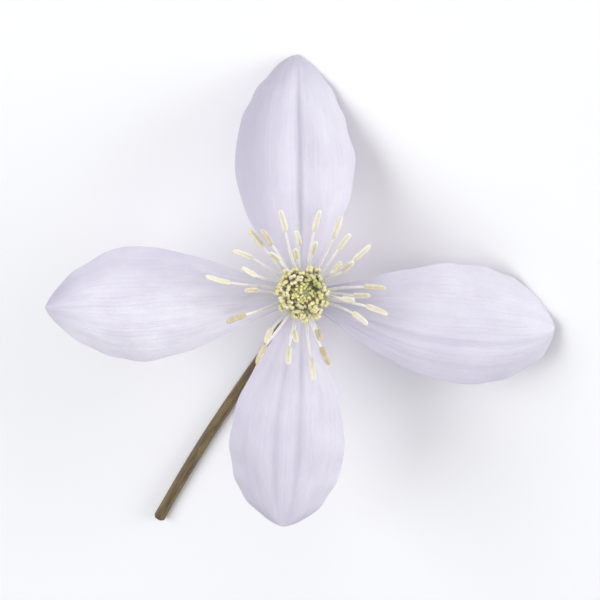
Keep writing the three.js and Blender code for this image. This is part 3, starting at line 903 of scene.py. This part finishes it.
def add_anther(anthers, k, inner, angle, curve, side):
    share = np.linspace(0, 1, ANTHER_RINGS)
    lean = ANTHER_LEAN * scatter(k, 5) * (1 - 0.5 * inner)
    spin = ANTHER_SPIN * scatter(k, 6)
    bow = lean * share ** 2
    centres = stamen_spine(curve, lerp(ANTHER_START, 1.0, share), k, side) + bow[:, None] * side
    across, depth = spine_frame(centres, side)
    wide_axis = across * math.cos(spin) + depth * math.sin(spin)
    deep_axis = depth * math.cos(spin) - across * math.sin(spin)
    rings = anther_rings(centres, wide_axis, deep_axis, 1 + ANTHER_PLUMPNESS * inner)
    faces = loft_faces(ANTHER_RINGS, ANTHER_SIDES)
    anthers.add(on_head(rings).reshape(-1, 3), faces, **anther_look(k, inner, angle, curve[2]))


def add_stamens(filament_skin, anther_skin):
    filaments, anthers = Body(), Body()
    for k, inner, angle, curve in stamen_curves():
        side = polar(angle + math.pi / 2, 1, 0)
        add_filament(filaments, k, curve, side)
        add_anther(anthers, k, inner, angle, curve, side)
    filaments.build("stamen_filaments", filament_skin, "stamen", "stamens")
    anthers.build("stamen_anthers", anther_skin, "stamen", "stamens")


# ---- Pistils ----

def pistil_curve(k, outward):
    angle = k * GOLDEN_ANGLE
    radius = PISTIL_BUNDLE_RADIUS * outward
    root = polar(angle, radius, TORUS_TOP - PISTIL_ROOT_DEPTH + PISTIL_DOME * (1 - outward))
    height = PISTIL_HEIGHT * (1 + PISTIL_STRAY["height"] * scatter(k, 4))
    tip = polar(angle + PISTIL_STRAY["angle"] * scatter(k, 8), radius * PISTIL_SPREAD, height)
    bend = polar(angle, radius * PISTIL_BEND["reach"], lerp(root[2], height, PISTIL_BEND["height"]))
    return root, bend, tip


def pistil_half_width(share):
    bulges = sum(height * ridge(share - place, length) for height, place, length in PISTIL_BULGES)
    rounded = np.sqrt(1 - 0.9 * share ** 30)
    return (lerp(*PISTIL_HALF_WIDTH, share) + bulges) * rounded


def add_silk(hairs, rng, centres, across, depth, half):
    """The silky hairs of one style, each from a random place on its skin."""
    for _ in range(SILK["count"]):
        i = int(rng.uniform(*SILK["span"]) * (PISTIL_RINGS - 1))
        turn = rng.uniform(0, 2 * math.pi)
        outwards, forwards, root = hair_root(centres, across, depth, half, i, turn, SILK["root"])
        direction = unit(forwards + SILK["outwards"] * outwards)
        length = rng.uniform(*SILK["length"])
        hairs.add_loft(on_head(hair(root, direction, outwards * SILK["droop"], length, SILK["width"])))


def add_pistils(skin, silk):
    pistils, hairs = Body(), Body()
    rng = np.random.default_rng(SEED)
    share = np.linspace(0, 1, PISTIL_RINGS)
    half = pistil_half_width(share)
    for k in range(PISTIL_COUNT):
        curve = pistil_curve(k, math.sqrt((k + PISTIL_FIRST) / PISTIL_COUNT))
        centres = bezier(curve, share)
        across, depth = level_frames(centres)
        rings = tube(centres, across, depth, half, half, PISTIL_SIDES)
        pistils.add_loft(on_head(rings), along=share, green=lerp(PISTIL_GREEN, 1, greenness(curve[2])))
        add_silk(hairs, rng, centres, across, depth, half)
    pistils.build("pistil_bodies", skin, "pistil", "pistils")
    hairs.build("pistil_silk", silk, "pistil", "pistils")


# ---- Stalk ----

def stalk_route():
    """The stalk's middle line from its cut end to the receptacle's top, and its radius at each point.

    It leaves the receptacle straight out of its back, comes down to the table, and runs on to the cut.
    """
    back = -HEAD_TURN[:, 2]
    start = HEAD_PLACE + back * STALK_NECK
    ahead, turned = polar(STALK_HEADING, 1, 0), polar(STALK_HEADING + STALK_TURN, 1, 0)
    landing = start + ahead * STALK_REACH
    landing[2] = STALK_REST_HEIGHT
    bend = landing + ahead * STALK_RUN / 2
    handle = STALK_REACH * STALK_FIRMNESS
    descent = (start, start + back * handle, landing - ahead * handle, landing)
    run = (landing, bend, bend + turned * STALK_RUN / 2)
    route = np.concatenate([
        bezier(run, np.linspace(1, 0, STALK_RUN_STEPS)),
        bezier(descent, np.linspace(0, 1, STALK_DESCENT_STEPS))[::-1][1:],
    ])
    radii = STALK_RADIUS * np.interp(np.arange(len(route)), *np.array(STALK_GIRTH).T)
    knob_heights, knob_radii = np.array(RECEPTACLE_PROFILE).T
    knob = HEAD_PLACE - back * knob_heights[:, None]
    return np.concatenate([route, knob]), np.concatenate([radii, knob_radii])


def ribbed(rings, centres, along):
    """The rings with the stalk's ribs, given how far along it each one is."""
    angles = round_angles(STALK_SIDES)
    straight = STALK_RIBS["height"] * np.cos(STALK_RIBS["count"] * angles)[None, :]
    twisted = WINDING_RIBS["count"] * angles[None, :] + along[:, None] * WINDING_RIBS["winding"]
    ribs = straight + WINDING_RIBS["height"] * np.sin(twisted)
    fade = ramp(along[-1] - along, 0, STALK_RIB_FADE)[:, None]
    middles = centres[:, None, :]
    return middles + (rings - middles) * (1 + ribs * fade)[..., None]


def add_down(centres, radii, along, across, depth, material):
    """Fine short hairs on the stalk, but for its neck and where it lies on the table."""
    rng = np.random.default_rng(SEED)
    hairs = Body()
    for _ in range(DOWN["count"]):
        place = (along[-1] - DOWN["bare"]) * rng.uniform(*DOWN["span"]) ** DOWN["crowding"]
        i = int(np.searchsorted(along, place))
        turn = rng.uniform(0, 2 * math.pi)
        outwards, forwards, root = hair_root(centres, across, depth, radii, i, turn, DOWN["root"])
        if root[2] + outwards[2] * DOWN_REACH < DOWN_CLEARANCE:
            continue
        direction = unit(outwards + DOWN["forwards"] * forwards)
        length = rng.uniform(*DOWN["length"])
        hairs.add_loft(hair(root, direction, forwards * DOWN["droop"], length, DOWN["width"]))
    hairs.build("stalk_down", material, "stalk", "stalk")


def add_stalk(skin, hair_skin):
    centres, radii = stalk_route()
    along = np.concatenate([[0], np.cumsum(np.linalg.norm(np.diff(centres, axis=0), axis=1))])
    across, depth = level_frames(centres)
    rings = ribbed(tube(centres, across, depth, radii, radii, STALK_SIDES), centres, along)

    # The cut face comes first, from its pith out to the stalk's edge.
    shares, depths = np.array(STALK_CUT).T
    inwards = unit(centres[1] - centres[0])
    face = centres[0] + shares[:, None, None] * (rings[0] - centres[0]) + depths[:, None, None] * inwards
    whole = np.concatenate([face, rings])
    angles = round_angles(STALK_SIDES)
    values = {
        "down": along[-1] - np.concatenate([0 * shares, along]),
        "cut": np.repeat([1.0, 0.0], [len(face), len(rings)]),
        "radial": np.concatenate([shares, 1 + 0 * along]),
    }
    values = {key: np.repeat(value, STALK_SIDES) for key, value in values.items()}
    body = Body()
    body.add(whole.reshape(-1, 3), loft_faces(len(whole), STALK_SIDES), **values,
             round_x=np.tile(np.cos(angles), len(whole)), round_y=np.tile(np.sin(angles), len(whole)))
    body.build("stalk_skin", skin, "stalk", "stalk")
    add_down(centres, radii, along, across, depth, hair_skin)


# ---- The floor, the light and the camera ----

def add_floor():
    mesh = bpy.data.meshes.new("floor")
    half = FLOOR_HALF_WIDTH
    corners = [(-half, -half, 0), (half, -half, 0), (half, half, 0), (-half, half, 0)]
    mesh.from_pydata(corners, [], [(0, 1, 2, 3)])
    look = Shading("floor_paint", Roughness=0.85, Base_Color=srgb(247, 247, 249))
    mesh.materials.append(look.material)
    floor = add_object("floor", mesh)


def add_light(name, direction, size, power, colour):
    light = bpy.data.lights.new(name, "AREA")
    light.size = size
    light.energy = power
    light.color = colour
    towards = unit(HEAD_TURN @ direction)
    place = HEAD_PLACE * MM + towards * LIGHT_DISTANCE
    turn = Vector(towards).to_track_quat("Z", "Y").to_matrix().to_4x4()
    add_object(name, light).matrix_world = Matrix.Translation(place) @ turn


def add_camera():
    """It faces the flower squarely, from far off and through a long lens."""
    data = bpy.data.cameras.new("camera")
    data.sensor_width = SENSOR_WIDTH
    data.lens = SENSOR_WIDTH * CAMERA_DISTANCE / FRAME_WIDTH
    camera = add_object("camera", data)
    place = on_head(FRAME_CENTRE + (0, 0, CAMERA_DISTANCE))
    camera.matrix_world = Matrix.Translation(place * MM) @ Matrix(HEAD_TURN.tolist()).to_4x4()
    bpy.context.scene.camera = camera


def add_surroundings():
    world = bpy.data.worlds.new("studio")
    world.use_nodes = True
    background = world.node_tree.nodes["Background"]
    background.inputs["Color"].default_value = srgb(246, 248, 252)
    background.inputs["Strength"].default_value = SKY_STRENGTH
    bpy.context.scene.world = world
    bpy.context.scene.view_settings.view_transform = "Standard"
    add_floor()
    for light in LIGHTS:
        add_light(**light)


# ---- The whole flower ----

add_camera()
add_surroundings()
sepal_skin = sepal_material()
for one in SEPALS:
    add_sepal(one, sepal_skin)
add_stamens(filament_material(), anther_material())
add_pistils(pistil_material(), hair_material("silk_skin", srgb(240, 238, 220)))
add_stalk(stalk_material(), hair_material("down_skin", srgb(206, 196, 170)))
